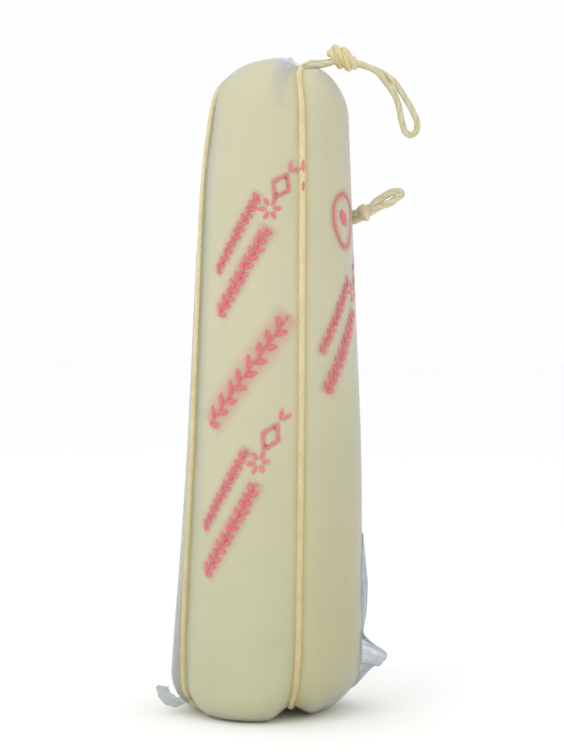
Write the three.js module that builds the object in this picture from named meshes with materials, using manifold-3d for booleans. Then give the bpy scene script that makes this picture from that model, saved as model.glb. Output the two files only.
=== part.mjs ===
// A shrink-wrapped provolone, standing on its broad end: a long tapering cheese whose lengthwise
// strings have pressed four lobes into it, with a hanging loop at the top and a small loop at the side.
// Millimetres, +Z up. The origin is on the standing surface, on the cheese's axis.
// Azimuths are in degrees from the front (-Y), positive towards the right (+X).

import * as THREE from 'three';
import { mergeVertices } from 'three/addons/utils/BufferGeometryUtils.js';
import Module from 'manifold-3d';

// ---------------------------------------------------------------- driving dimensions

const HEIGHT = 447; // standing surface to the middle of the crown
const SIDE_RADIUS = 67.8; // the side line, carried down to the standing surface
const TAPER = 2.45; // degrees that the side leans in
const SIDE_BULGE = 0.6; // how far the middle of the side stands proud of a straight line
const SHOULDER_ROUND = 38; // rounding between side and crown
const CROWN_SLOPE = 4; // degrees that the crown falls towards the shoulder

// One entry for each lobe: its middle, the rounding of its foot, how far it swells at the foot, at
// half height and at the shoulder, and how much higher than the nominal crown its top stands.
const LOBES = [
  { azimuth: -28, footRound: 19, footSwell: 0, waistSwell: -0.4, shoulderSwell: -3.6, rise: 2.5 },
  { azimuth: 60, footRound: 43, footSwell: -3, waistSwell: 1.6, shoulderSwell: 0, rise: -2.5 },
  { azimuth: 140, footRound: 28, footSwell: 0.4, waistSwell: 0.8, shoulderSwell: 0, rise: -1 },
  { azimuth: 231, footRound: 30, footSwell: 2.4, waistSwell: -2, shoulderSwell: -5.2, rise: 1 },
];
const SHOULDER_SWELL_HEIGHT = 408;
const SHOULDER_SWELL_WIDTH = 26;

// Each string runs a little askew: its azimuth at the foot and at the crown, how far its line bows
// between them, how far it stands proud of its valley's usual place, and the share of the foot
// valley's depth that it has pressed.
const STRINGS = {
  front: { foot: 17.1, crown: 21.1, bow: 0, proud: 0.4, footShare: 1 },
  right: { foot: 106, crown: 99, bow: 0, proud: 0, footShare: 1 },
  back: { foot: 184, crown: 172, bow: 0, proud: 0.4, footShare: 1 },
  left: { foot: 297.5, crown: 283, bow: 3, proud: 1.6, footShare: 0.6 },
};
const STRING_ORDER = ['front', 'right', 'back', 'left'];

const TWINE = 4.4; // diameter of the string
const GAP = 0.4; // clearance between pieces that touch
const GROOVE = TWINE / 2 + 0.9; // radius of the groove that a string lies in

// The valley that a string lies in: its depth, the distance from the string at which it has run
// out, and how far below its bottom the middle of the string lies. It is deepest at the ends.
const SIDE_VALLEY = { depth: 0.7, reach: 13, sunk: 0.2 };
const FOOT_VALLEY = { depth: 8, reach: 18, sunk: 0.8 };
const CROWN_VALLEY = { depth: 3.6, reach: 16, sunk: 1 };
const FOOT_FADE = 60; // height up the side over which the foot's valley fades into the side's
const CROWN_FADE = 50; // the same below the crown
const LOBE_DEPTH = 1.2; // the broad pinch between two lobes, on the side

// The strings meet off the axis, at both ends, and the surface is drawn over with them.
const CROWN_MEETING = { x: 14, y: 1, reach: 50 };
const FOOT_MEETING = { x: 13, y: 0, reach: 60 };
const FOOT_DIMPLE = { depth: 12.8, floor: 8, edge: 14 };
const CROWN_DIMPLE = { depth: 12, floor: 7.5, edge: 13 };
const CROSSING_HIGH = 9.8; // height of the upper string's middle where the two cross under the foot
const CROSSING_LOW = 4.8; // the same for the lower string
const CROSSING_SPREAD = 9; // distance from the crossing over which the strings part

// Knots: middle and half sizes.
const CROWN_KNOT = { at: [CROWN_MEETING.x, CROWN_MEETING.y, HEIGHT - 6.4], half: [6, 6, 4.6] };
const HANGING_KNOT = { at: [44, -5.8, 450.8], half: [10, 8.6, 9.2] };
const SIDE_KNOT = { at: [61.4, 7, 344.6], half: [3.6, 5, 5.2] };

// The hanging cord is doubled: it runs out to the right as one pair, through the knot, and parts
// into an open eye that droops.
const HANGING_ROOT = [[20.4, -5.2, 446.1], [25, -5.6, 446.1], [30.9, -5.8, 446.2], [33.6, -5.8, 446.8]];
const HANGING_PAIR = [[54.9, -5.6, 446.4], [60.9, -6, 444.6], [69.4, -6.4, 440.8], [78.6, -6.8, 432.6]];
const HANGING_EYE = [
  [88.9, -6.8, 421.6], [93.9, -6.6, 413], [96.6, -6.4, 406], [95.9, -6.2, 400.4], [92, -6.1, 397.6],
  [88.4, -6.2, 400.2], [86.2, -6.4, 406], [84.7, -6.6, 413], [82.6, -6.8, 421],
];
const HANGING_TURNS = 0.22; // turns that the pair makes round itself

// The side loop is doubled too: it leaves the right string, is knotted at once and rises to the right.
const SIDE_ROOT = [[53.8, 8.4, 342.8], [55.6, 7.8, 343.4], [57.2, 7.4, 344]];
const SIDE_PAIR = [[66.6, 6.6, 346.6], [71.4, 6.2, 349.8]];
const SIDE_EYE = [
  [77.2, 6, 356.4], [82.4, 5.9, 359.4], [86.3, 5.8, 360.4], [87.6, 5.8, 357.8], [84.6, 5.8, 354.6],
  [79.6, 5.9, 350.8],
];
const SIDE_TURNS = 0;

const PAIR_SPACING = TWINE + GAP; // between the middles of two strands that lie together

// Loose folds of the film, cut as outlines in an upright plane: distance out from the axis, height.
const FILM_PLY = 1; // thickness of a fold, several plies shrunk together
const RIGHT_EAR = { azimuth: 93, reach: 81 };
const LEFT_EAR = { azimuth: 284, reach: 80.4 };
const CREST = { from: [7.5, -8], to: [2.1, -41] };

// ---------------------------------------------------------------- helpers

const rad = THREE.MathUtils.degToRad;
const smooth = THREE.MathUtils.smoothstep;
const lerp = THREE.MathUtils.lerp;
const bell = (x, width) => Math.exp(-((x / width) ** 2));
const vector = (point) => new THREE.Vector3(...point);

// One lobe property at any azimuth, eased from the middle of one lobe to the middle of the next.
function lobeValue(azimuth, property) {
  const turn = (degrees) => ((degrees % 360) + 360) % 360;
  const index = LOBES.findIndex((lobe, i) => {
    const next = LOBES[(i + 1) % LOBES.length];
    return turn(azimuth - lobe.azimuth) <= turn(next.azimuth - lobe.azimuth);
  });
  const here = LOBES[index];
  const next = LOBES[(index + 1) % LOBES.length];
  const along = turn(azimuth - here.azimuth);
  const ease = smooth(along, 0, turn(next.azimuth - here.azimuth));
  return lerp(here[property], next[property], ease);
}

// ---------------------------------------------------------------- the cheese's surface

// The shoulder's centre lies where its arc touches both the side line and the crown line.
function shoulderCentre() {
  const reach = SIDE_RADIUS - SHOULDER_ROUND / Math.cos(rad(TAPER));
  const drop = reach * Math.tan(rad(CROWN_SLOPE)) + SHOULDER_ROUND / Math.cos(rad(CROWN_SLOPE));
  const z = (HEIGHT - drop) / (1 - Math.tan(rad(TAPER)) * Math.tan(rad(CROWN_SLOPE)));
  return { radius: reach - z * Math.tan(rad(TAPER)), z };
}

// The profile, from the middle of the foot (s = 0) to the middle of the crown (s = 5), one unit for
// each stretch: foot, foot rounding, side, shoulder rounding, crown.
function profile(s, azimuth) {
  const lean = rad(TAPER);
  const round = lobeValue(azimuth, 'footRound');
  const foot = { radius: SIDE_RADIUS - round * (Math.tan(lean) + 1 / Math.cos(lean)), z: round };
  const shoulder = shoulderCentre();
  const crownAngle = rad(90 - CROWN_SLOPE);
  const arc = (centre, size, angle) => ({
    radius: centre.radius + size * Math.cos(angle),
    z: centre.z + size * Math.sin(angle),
    out: Math.cos(angle),
    up: Math.sin(angle),
  });
  if (s <= 1) {
    return { radius: foot.radius * s, z: 0, out: 0, up: -1 };
  }
  if (s <= 2) {
    return arc(foot, round, lerp(-Math.PI / 2, lean, s - 1));
  }
  if (s <= 3) {
    const low = arc(foot, round, lean);
    const high = arc(shoulder, SHOULDER_ROUND, lean);
    const radius = lerp(low.radius, high.radius, s - 2) + SIDE_BULGE * Math.sin(Math.PI * (s - 2));
    return { radius, z: lerp(low.z, high.z, s - 2), out: low.out, up: low.up };
  }
  if (s <= 4) {
    return arc(shoulder, SHOULDER_ROUND, lerp(lean, crownAngle, s - 3));
  }
  const edge = arc(shoulder, SHOULDER_ROUND, crownAngle);
  const z = lerp(edge.z, HEIGHT, s - 4);
  return { radius: edge.radius * (5 - s), z, out: edge.out, up: edge.up };
}

// The profile with the unevenness of its lobe.
function lobedProfile(s, azimuth) {
  const point = profile(s, azimuth);
  const atFoot = 1 - smooth(point.z, 0, HEIGHT * 0.45);
  const atWaist = bell(point.z - HEIGHT * 0.4, HEIGHT * 0.22);
  const swell = lobeValue(azimuth, 'footSwell') * atFoot + lobeValue(azimuth, 'waistSwell') * atWaist;
  const atShoulder = bell(point.z - SHOULDER_SWELL_HEIGHT, SHOULDER_SWELL_WIDTH);
  const shoulder = lobeValue(azimuth, 'shoulderSwell') * atShoulder;
  point.radius *= 1 + (swell + shoulder) / SIDE_RADIUS;
  point.z += lobeValue(azimuth, 'rise') * smooth(point.z, HEIGHT * 0.8, HEIGHT);
  return point;
}

function stringAzimuth(name, s) {
  const { foot, crown, bow } = STRINGS[name];
  const height = profile(s, STRINGS.front.foot).z / HEIGHT;
  return lerp(foot, crown, height) + bow * Math.sin(Math.PI * height);
}

// Depth, reach and sunk of a string's valley at one height, with the broad pinch between lobes.
function valleyAt(name, z) {
  const { proud, footShare } = STRINGS[name];
  const foot = 1 - smooth(z, 0, FOOT_FADE);
  const crown = smooth(z, HEIGHT - CROWN_FADE, HEIGHT - 4);
  const side = 1 - foot - crown;
  const mix = (key, share = 1) =>
    SIDE_VALLEY[key] * side + FOOT_VALLEY[key] * share * foot + CROWN_VALLEY[key] * crown;
  return {
    depth: mix('depth', footShare),
    reach: mix('reach'),
    sunk: mix('sunk') - proud * (1 - crown),
    pinch: LOBE_DEPTH * side,
  };
}

// Depth of a string's middle below the lobes' surface.
function stringDepth(name, point) {
  const valley = valleyAt(name, point.z);
  const depth = valley.pinch + valley.depth + valley.sunk;
  if (point.up > -0.99) {
    return depth;
  }
  const crossing = name === 'front' || name === 'back' ? CROSSING_HIGH : CROSSING_LOW;
  return lerp(depth, crossing, bell(point.radius, CROSSING_SPREAD));
}

// How far in from the profile the cheese's surface lies: pinch, valley, groove and dimples.
function inset(s, point, azimuth) {
  let deepest = 0;
  for (const name of STRING_ORDER) {
    const valley = valleyAt(name, point.z);
    const turn = azimuth - stringAzimuth(name, s);
    const away = Math.abs((((turn % 360) + 540) % 360) - 180);
    if (away < 90) {
      const across = point.radius * Math.sin(rad(away));
      const pinch = valley.pinch * (1 - Math.sin(rad(Math.min(90, away * 2))));
      const fade = 0.5 * (1 + Math.cos(Math.PI * Math.min(1, across / valley.reach)));
      const bite = Math.sqrt(Math.max(0, GROOVE ** 2 - across ** 2));
      const groove = across <= GROOVE * 1.001 ? stringDepth(name, point) + bite : 0;
      deepest = Math.max(deepest, pinch + valley.depth * fade, groove);
    }
  }
  const dimple = point.up < 0 ? FOOT_DIMPLE : CROWN_DIMPLE;
  const atEnd = Math.abs(point.up) > 0.9 ? 1 - smooth(point.radius, dimple.floor, dimple.edge) : 0;
  return Math.max(deepest, dimple.depth * atEnd);
}

// A point on or under the surface. Near the ends it is drawn towards the place where strings meet.
function place(point, azimuth, depth) {
  const meeting = point.z < HEIGHT / 2 ? FOOT_MEETING : CROWN_MEETING;
  const draw = 1 - smooth(point.radius, 0, meeting.reach);
  const radius = point.radius - depth * point.out;
  const x = radius * Math.sin(rad(azimuth)) + meeting.x * draw;
  const y = -radius * Math.cos(rad(azimuth)) + meeting.y * draw;
  return new THREE.Vector3(x, y, point.z - depth * point.up);
}

// Azimuths of the surface's columns on one ring: close together beside each string.
function columns(s) {
  const { radius } = profile(s, STRINGS.front.foot);
  const across = [0, GROOVE * 0.5, GROOVE * 0.86, GROOVE, GROOVE + 0.6, 9, 18, 31];
  const azimuths = [];
  STRING_ORDER.forEach((name, i) => {
    const here = stringAzimuth(name, s);
    const after = stringAzimuth(STRING_ORDER[(i + 1) % 4], s);
    const half = ((after - here + 360) % 360) / 2;
    const even = half / across.length;
    const turns = across.map((distance, j) => Math.min(THREE.MathUtils.radToDeg(distance / radius), even * j));
    azimuths.push(...turns.map((turn) => here + turn), here + half);
    azimuths.push(...turns.slice(1).reverse().map((turn) => here + 2 * half - turn));
  });
  return azimuths;
}

function profileSteps() {
  const steps = [0.08, 0.17, 0.27, 0.4, 0.6, 0.8, 1];
  const even = (from, count) => {
    for (let i = 1; i <= count; i += 1) {
      steps.push(from + i / count);
    }
  };
  even(1, 7);
  even(2, 10);
  even(3, 8);
  return [...steps, 4.2, 4.45, 4.72];
}

// Closed surface from rings of points and a point at either end.
function closedSurface(rings, start, end) {
  const points = [start, ...rings.flat(), end];
  const size = rings[0].length;
  const at = (ring, column) => 1 + ring * size + (column % size);
  const faces = [];
  for (let c = 0; c < size; c += 1) {
    faces.push(0, at(0, c + 1), at(0, c));
    for (let r = 0; r + 1 < rings.length; r += 1) {
      faces.push(at(r, c), at(r, c + 1), at(r + 1, c + 1));
      faces.push(at(r, c), at(r + 1, c + 1), at(r + 1, c));
    }
    faces.push(points.length - 1, at(rings.length - 1, c), at(rings.length - 1, c + 1));
  }
  const geometry = new THREE.BufferGeometry();
  geometry.setAttribute('position', new THREE.Float32BufferAttribute(points.flatMap((p) => p.toArray()), 3));
  geometry.setIndex(faces);
  return geometry;
}

function cheeseSurface() {
  const ring = (s) => columns(s).map((azimuth) => {
    const point = lobedProfile(s, azimuth);
    return place(point, azimuth, inset(s, point, azimuth));
  });
  const foot = new THREE.Vector3(FOOT_MEETING.x, FOOT_MEETING.y, FOOT_DIMPLE.depth);
  const crown = new THREE.Vector3(CROWN_MEETING.x, CROWN_MEETING.y, HEIGHT - CROWN_DIMPLE.depth);
  return closedSurface(profileSteps().map(ring), foot, crown);
}

// ---------------------------------------------------------------- loose folds of the film

// An outline in the upright plane through the axis, made into a thin sheet on both sides of it.
function uprightSheet(shape, azimuth) {
  const sheet = new THREE.ExtrudeGeometry(shape, { depth: FILM_PLY, bevelEnabled: false, curveSegments: 5 });
  sheet.translate(0, 0, -FILM_PLY / 2);
  sheet.rotateX(Math.PI / 2);
  sheet.rotateZ(rad(azimuth - 90));
  return sheet;
}

// The web stands off the right of the foot and ends in a pointed ear.
function rightEar() {
  const tip = RIGHT_EAR.reach;
  const outline = new THREE.Shape();
  outline.moveTo(57, 122);
  outline.quadraticCurveTo(66, 108, tip - 14, 86);
  outline.quadraticCurveTo(tip - 13.6, 64, tip - 16, 54);
  outline.quadraticCurveTo(tip - 15, 45, tip - 8, 43);
  outline.lineTo(tip, 38);
  outline.lineTo(tip - 5, 30.5);
  outline.lineTo(tip - 10.5, 30);
  outline.quadraticCurveTo(tip - 22, 17, tip - 33, 6);
  outline.lineTo(tip - 36, 14);
  outline.lineTo(tip - 28, 60);
  outline.closePath();
  return uprightSheet(outline, RIGHT_EAR.azimuth);
}

// A narrow tail that leaves the foot, turns up and ends square.
function leftEar() {
  const tip = LEFT_EAR.reach;
  const outline = new THREE.Shape();
  outline.moveTo(tip - 26, 6.4);
  outline.lineTo(tip - 13, 3.2);
  outline.quadraticCurveTo(tip - 2, 6, tip, 12);
  outline.lineTo(tip - 1, 18);
  outline.lineTo(tip - 8.6, 17.4);
  outline.quadraticCurveTo(tip - 9.6, 10.6, tip - 14, 10.2);
  outline.lineTo(tip - 26, 16);
  outline.closePath();
  return uprightSheet(outline, LEFT_EAR.azimuth);
}

// A low crest where the film is gathered, from beside the crown knot to the front shoulder.
function crownCrest() {
  const [startX, startY] = CREST.from;
  const [endX, endY] = CREST.to;
  const length = Math.hypot(endX - startX, endY - startY);
  const outline = new THREE.Shape();
  outline.moveTo(0, HEIGHT - 8);
  outline.lineTo(0, HEIGHT + 2);
  outline.quadraticCurveTo(2, HEIGHT + 3.4, 8, HEIGHT + 2.4);
  outline.quadraticCurveTo(18, HEIGHT + 0.6, length, HEIGHT - 9.6);
  outline.lineTo(length, HEIGHT - 24);
  outline.closePath();
  const sheet = new THREE.ExtrudeGeometry(outline, { depth: FILM_PLY, bevelEnabled: false, curveSegments: 5 });
  sheet.translate(0, 0, -FILM_PLY / 2);
  sheet.rotateX(Math.PI / 2);
  sheet.rotateZ(Math.atan2(endY - startY, endX - startX));
  sheet.translate(startX, startY, 0);
  return sheet;
}

// ---------------------------------------------------------------- strings and cords

function roundSection(diameter, sides) {
  const turn = (i) => (2 * Math.PI * (i + 0.5)) / sides;
  const corner = (_, i) => new THREE.Vector2(Math.cos(turn(i)), Math.sin(turn(i))).multiplyScalar(diameter / 2);
  return new THREE.Shape(Array.from({ length: sides }, corner));
}

function tube(points, section, steps) {
  const path = new THREE.CatmullRomCurve3(points, false, 'centripetal');
  return new THREE.ExtrudeGeometry(section, { steps, extrudePath: path, bevelEnabled: false });
}

// Where one string's middle runs, from the crown knot down to the middle of the foot.
function stringRun(name, lowest) {
  const run = [];
  const first = 5 - (CROWN_KNOT.half[0] + 2 * GAP) / profile(4, 0).radius;
  for (let s = first; s > lowest; s -= 0.1) {
    const azimuth = stringAzimuth(name, s);
    const point = lobedProfile(s, azimuth);
    run.push(place(point, azimuth, stringDepth(name, point)));
  }
  return run;
}

// One string goes down one side, under the foot and up the other.
function stringLoop(down, up) {
  const lowest = 0.12;
  const height = down === 'front' ? CROSSING_HIGH : CROSSING_LOW;
  const crossing = new THREE.Vector3(FOOT_MEETING.x, FOOT_MEETING.y, height);
  const points = [...stringRun(down, lowest), crossing, ...stringRun(up, lowest).reverse()];
  return tube(points, roundSection(TWINE, 6), 124);
}

// Two strands that wind round each other along a route, so that they part in the upright plane at
// its far end. Returns both strands from the near end.
function pairedStrands(route, turns) {
  const path = new THREE.CatmullRomCurve3(route.map(vector), false, 'centripetal');
  const across = new THREE.Vector3(0, 1, 0);
  const count = 12;
  const upper = [];
  const lower = [];
  for (let i = 0; i <= count; i += 1) {
    const middle = path.getPointAt(i / count);
    const upright = new THREE.Vector3().crossVectors(path.getTangentAt(i / count), across).normalize();
    const turn = 2 * Math.PI * turns * (1 - i / count);
    const offset = upright.multiplyScalar(Math.cos(turn)).addScaledVector(across, Math.sin(turn));
    offset.multiplyScalar(PAIR_SPACING / 2);
    upper.push(middle.clone().add(offset));
    lower.push(middle.clone().sub(offset));
  }
  return { upper, lower };
}

// Out along one strand, round the eye and back along the other.
function eyeCord(pair, eye, turns, steps) {
  const { upper, lower } = pairedStrands(pair, turns);
  return tube([...upper, ...eye.map(vector), ...lower.reverse()], roundSection(TWINE, 8), steps);
}

// The doubled cord between the body and its knot, as one solid round both strands.
function doubledRoot(points, steps) {
  return tube(points.map(vector), roundSection(1.6 * TWINE, 8), steps);
}

// The outer shape of a knot: a ball with the ridges of the strands wound over it.
function knotBody({ half }) {
  const ball = new THREE.SphereGeometry(1, 12, 8);
  for (const name of ['normal', 'uv']) {
    ball.deleteAttribute(name);
  }
  const geometry = mergeVertices(ball, 1e-4);
  const position = geometry.getAttribute('position');
  for (let i = 0; i < position.count; i += 1) {
    const p = new THREE.Vector3().fromBufferAttribute(position, i);
    const ridge = 0.93 + 0.07 * Math.cos(3 * (p.x + p.z) + 2 * p.y);
    p.multiply(vector(half)).multiplyScalar(ridge);
    position.setXYZ(i, p.x, p.y, p.z);
  }
  return geometry;
}

// ---------------------------------------------------------------- joining with manifold-3d

const wasm = await Module();
wasm.setup();

function toSolid(source) {
  const plain = new THREE.BufferGeometry();
  plain.setAttribute('position', source.getAttribute('position').clone());
  if (source.index) {
    plain.setIndex(source.index.clone());
  }
  const merged = mergeVertices(plain, 1e-4);
  const mesh = new wasm.Mesh({
    numProp: 3,
    vertProperties: new Float32Array(merged.getAttribute('position').array),
    triVerts: new Uint32Array(merged.index.array),
  });
  return new wasm.Manifold(mesh);
}

function toGeometry(solid) {
  const mesh = solid.getMesh();
  const geometry = new THREE.BufferGeometry();
  geometry.setAttribute('position', new THREE.Float32BufferAttribute(mesh.vertProperties, 3));
  geometry.setIndex(Array.from(mesh.triVerts));
  return geometry;
}

// The film clings to the cheese all over, so both make one solid, with the film's loose folds.
function wrappedCheese() {
  const folds = [rightEar(), leftEar(), crownCrest()];
  const joined = folds.reduce((solid, fold) => solid.add(toSolid(fold)), toSolid(cheeseSurface()));
  return toGeometry(joined);
}

// ---------------------------------------------------------------- the part

const cheeseLook = () => new THREE.MeshStandardMaterial({ color: 0xd6d2b3, roughness: 0.42, metalness: 0 });
const twineLook = () => new THREE.MeshStandardMaterial({ color: 0xd3c591, roughness: 0.85, metalness: 0 });

const provolone = new THREE.Group();

function addPiece(name, geometry, material, at = [0, 0, 0]) {
  geometry.computeVertexNormals();
  const mesh = new THREE.Mesh(geometry, material);
  mesh.name = name;
  mesh.position.set(...at);
  provolone.add(mesh);
}

addPiece('wrapped_cheese', wrappedCheese(), cheeseLook());
addPiece('string_front_back', stringLoop('front', 'back'), twineLook());
addPiece('string_left_right', stringLoop('left', 'right'), twineLook());
addPiece('crown_knot', knotBody(CROWN_KNOT), twineLook(), CROWN_KNOT.at);
addPiece('hanging_root', doubledRoot(HANGING_ROOT, 6), twineLook());
addPiece('hanging_knot', knotBody(HANGING_KNOT), twineLook(), HANGING_KNOT.at);
addPiece('hanging_loop', eyeCord(HANGING_PAIR, HANGING_EYE, HANGING_TURNS, 56), twineLook());
addPiece('side_root', doubledRoot(SIDE_ROOT, 2), twineLook());
addPiece('side_knot', knotBody(SIDE_KNOT), twineLook(), SIDE_KNOT.at);
addPiece('side_loop', eyeCord(SIDE_PAIR, SIDE_EYE, SIDE_TURNS, 24), twineLook());

export default provolone;
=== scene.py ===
"""A shrink-wrapped provolone, bound lengthwise with string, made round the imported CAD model.

Everything is in metres in the row frame. Azimuths are in degrees from the front (-Y), positive
towards the right (+X). Depths are measured in from the lobes' smooth outline.
"""

import math

import bpy
import numpy as np
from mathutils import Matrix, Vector, noise


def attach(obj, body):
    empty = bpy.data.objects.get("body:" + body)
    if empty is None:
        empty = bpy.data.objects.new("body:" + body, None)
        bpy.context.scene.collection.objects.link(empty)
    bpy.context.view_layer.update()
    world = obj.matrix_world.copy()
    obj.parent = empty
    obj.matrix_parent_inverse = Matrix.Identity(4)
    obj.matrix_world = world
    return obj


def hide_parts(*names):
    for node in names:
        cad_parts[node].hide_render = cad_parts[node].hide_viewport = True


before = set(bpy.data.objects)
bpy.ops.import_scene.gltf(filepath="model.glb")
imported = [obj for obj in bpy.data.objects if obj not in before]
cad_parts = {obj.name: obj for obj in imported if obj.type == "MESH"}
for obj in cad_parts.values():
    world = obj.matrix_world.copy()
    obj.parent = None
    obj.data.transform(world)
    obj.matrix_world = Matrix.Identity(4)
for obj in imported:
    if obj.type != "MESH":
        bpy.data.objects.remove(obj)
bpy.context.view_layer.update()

# ---- driving dimensions

HEIGHT = 0.447
SIDE_RADIUS = 0.0678
TAPER = math.radians(2.45)
SIDE_BULGE = 0.0006
SHOULDER_ROUND = 0.038
CROWN_SLOPE = math.radians(4)

LOBES = {
    "azimuth": [-28, 60, 140, 231],
    "foot_round": [0.019, 0.043, 0.028, 0.03],
    "foot_swell": [0, -0.003, 0.0004, 0.0024],
    "waist_swell": [-0.0004, 0.0016, 0.0008, -0.002],
    "shoulder_swell": [-0.0036, 0, 0, -0.0052],
    "rise": [0.0025, -0.0025, -0.001, 0.001],
}
SHOULDER_HEIGHT = 0.408
# Azimuth of each string at the foot, the bow of its line, and its azimuth at the crown.
STRINGS = {
    "front": (17.1, 0, 21.1), "right": (106, 0, 99), "back": (184, 0, 172), "left": (297.5, 3, 283),
}
STRING_ORDER = ["front", "right", "back", "left"]

TWINE = 0.0044
SNUG = 0.00012  # play between the string and the groove that it has pressed
SIDE_VALLEY = {"depth": 0.0007, "reach": 0.013, "sunk": 0.0002}
FOOT_VALLEY = {"depth": 0.008, "reach": 0.018, "sunk": 0.0008}
CROWN_VALLEY = {"depth": 0.0036, "reach": 0.016, "sunk": 0.001}
PROUD = {"front": 0.0004, "right": 0.0, "back": 0.0004, "left": 0.0016}  # on the side
FOOT_SHARE = {"front": 1, "right": 1, "back": 1, "left": 0.6}  # of the foot valley's depth
FOOT_FADE = 0.06
CROWN_FADE = 0.05
LOBE_DEPTH = 0.0012

CROWN_MEETING = {"x": 0.014, "y": 0.001, "reach": 0.05}
FOOT_MEETING = {"x": 0.013, "y": 0.0, "reach": 0.06}
FOOT_DIMPLE = {"depth": 0.0128, "floor": 0.008, "edge": 0.014}
CROWN_DIMPLE = {"depth": 0.012, "floor": 0.0075, "edge": 0.013}
CROSSING = {"front": 0.0098, "right": 0.0048, "back": 0.0098, "left": 0.0048}
CROSSING_SPREAD = 0.009
CROWN_GATHER = {"depth": 0.009, "floor": 0.0075, "edge": 0.0135}  # of the film round the crown knot

# Routes of the free cords, close to those of the CAD model.
HANGING_ROOT = [
    (0.015, -0.0012, 0.4395), (0.018, -0.0036, 0.4424), (0.022, -0.0052, 0.4448),
    (0.0262, -0.0058, 0.4455), (0.0309, -0.006, 0.4459), (0.035, -0.006, 0.4466),
    (0.044, -0.0058, 0.4492),
]
HANGING_PAIR = [
    (0.0549, -0.0056, 0.4464), (0.0609, -0.006, 0.4446), (0.0694, -0.0064, 0.4408),
    (0.0786, -0.0068, 0.4326),
]
HANGING_EYE = [
    (0.0889, -0.0068, 0.4216), (0.0939, -0.0066, 0.413), (0.0966, -0.0064, 0.406),
    (0.0959, -0.0062, 0.4004), (0.092, -0.0061, 0.3976), (0.0884, -0.0062, 0.4002),
    (0.0862, -0.0064, 0.406), (0.0847, -0.0066, 0.413), (0.0826, -0.0068, 0.421),
]
# How far round each other the two strands have turned, in degrees, evenly spaced along the pair.
HANGING_TURNS = [40, 48, 56, 74, 88, 92, 88, 78, 52, 0]
SIDE_TWINE = 0.0052  # the same twine, slacker
SIDE_OUT = [
    (0.0518, 0.0098, 0.3438), (0.056, 0.0078, 0.3448), (0.059, 0.007, 0.3463),
    (0.0617, 0.0066, 0.3472), (0.0662, 0.0062, 0.3492), (0.0697, 0.006, 0.3527),
    (0.0735, 0.006, 0.3553), (0.0768, 0.006, 0.3575), (0.0803, 0.006, 0.3592),
    (0.0838, 0.006, 0.36),
]
SIDE_TIP = [(0.0866, 0.0059, 0.3598), (0.087, 0.0058, 0.3577)]
SIDE_BACK = [
    (0.0844, 0.0058, 0.3557), (0.0798, 0.0058, 0.3522), (0.0748, 0.0058, 0.3503),
    (0.07, 0.0059, 0.3481), (0.066, 0.0061, 0.3454), (0.0617, 0.0066, 0.343),
    (0.059, 0.007, 0.3413), (0.056, 0.0078, 0.3399), (0.0518, 0.0098, 0.3391),
]
PAIR_SPACING = TWINE + 0.0002

# The right ear of the film: for each point of its edge, the distance out from the axis, the height,
# and the height at which the film leaves the body there.
RIGHT_EAR_AZIMUTH = 93
RIGHT_EAR_SPREAD = (26, 15)  # degrees to both sides at which the plies leave the body: foot, above
RIGHT_EAR = [
    (0.064, 0.122, 0.122), (0.0665, 0.1, 0.1), (0.0676, 0.0866, 0.087), (0.0672, 0.069, 0.069),
    (0.0653, 0.0533, 0.057), (0.0672, 0.0468, 0.051), (0.0757, 0.043, 0.045), (0.0815, 0.0385, 0.04),
    (0.0808, 0.0345, 0.035), (0.0766, 0.0296, 0.031), (0.0717, 0.0288, 0.027), (0.0601, 0.016, 0.017),
    (0.0484, 0.0057, 0.007),
]
# The left tail: places along its middle and its half width there.
LEFT_TAIL = [
    (-0.051, -0.0318, 0.0124, 0.0012), (-0.0548, -0.03, 0.0112, 0.0018),
    (-0.0595, -0.0258, 0.0093, 0.0026), (-0.0646, -0.0225, 0.008, 0.0038),
    (-0.0695, -0.0205, 0.01, 0.0042), (-0.0728, -0.0195, 0.0145, 0.004),
    (-0.0727, -0.0192, 0.0182, 0.004),
]
# The fold at the crown: distance from the meeting of the strings, azimuth, height and half width.
CROWN_FOLD = [
    (0.01, -18, 0.0022, 0.004), (0.015, -3, 0.0032, 0.0056), (0.022, 1, 0.0026, 0.007),
    (0.03, 3, 0.0016, 0.0074), (0.038, 3, 0.0009, 0.007), (0.045, 2, 0.0005, 0.0062),
    (0.0505, 1, 0.0003, 0.0052), (0.0535, 0, 0.0002, 0.0044),
]
# The slack film behind the left string, low down: azimuths of its two edges, its top, and how far
# off the tight film it stands.
LEFT_WEB = {"from": 236, "to": 296, "top": 0.125, "off": 0.0001}

# Each knot's turns: the middle and axis, the way that a turn gains, the turns' radius, the strand's
# thickness, the number of turns, and where they start and how far they lean.
HANGING_KNOT = {
    "centre": (0.0445, -0.0058, 0.45), "axis": (1, 0, -0.05), "pitch": 0.005, "radius": 0.006,
    "thick": 0.0056, "turns": 2.9, "start": 0.9, "lean": 0.62,
}
SIDE_KNOT = {
    "centre": (0.0617, 0.0066, 0.345), "axis": (1, 0, 0.2), "pitch": 0.0022, "radius": 0.004,
    "thick": 0.005, "turns": 1.6, "start": 0.4, "lean": 0.25,
}
CROWN_KNOT = {
    "centre": (0.014, 0.001, HEIGHT - 0.0064), "axis": (1, 0.3, 0), "pitch": 0.0042, "radius": 0.003,
    "thick": 0.0044, "turns": 2.2, "start": 0.3, "lean": 0.2,
}

PRINT_SLANT = 59
BAND_SLANT = 51
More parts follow.
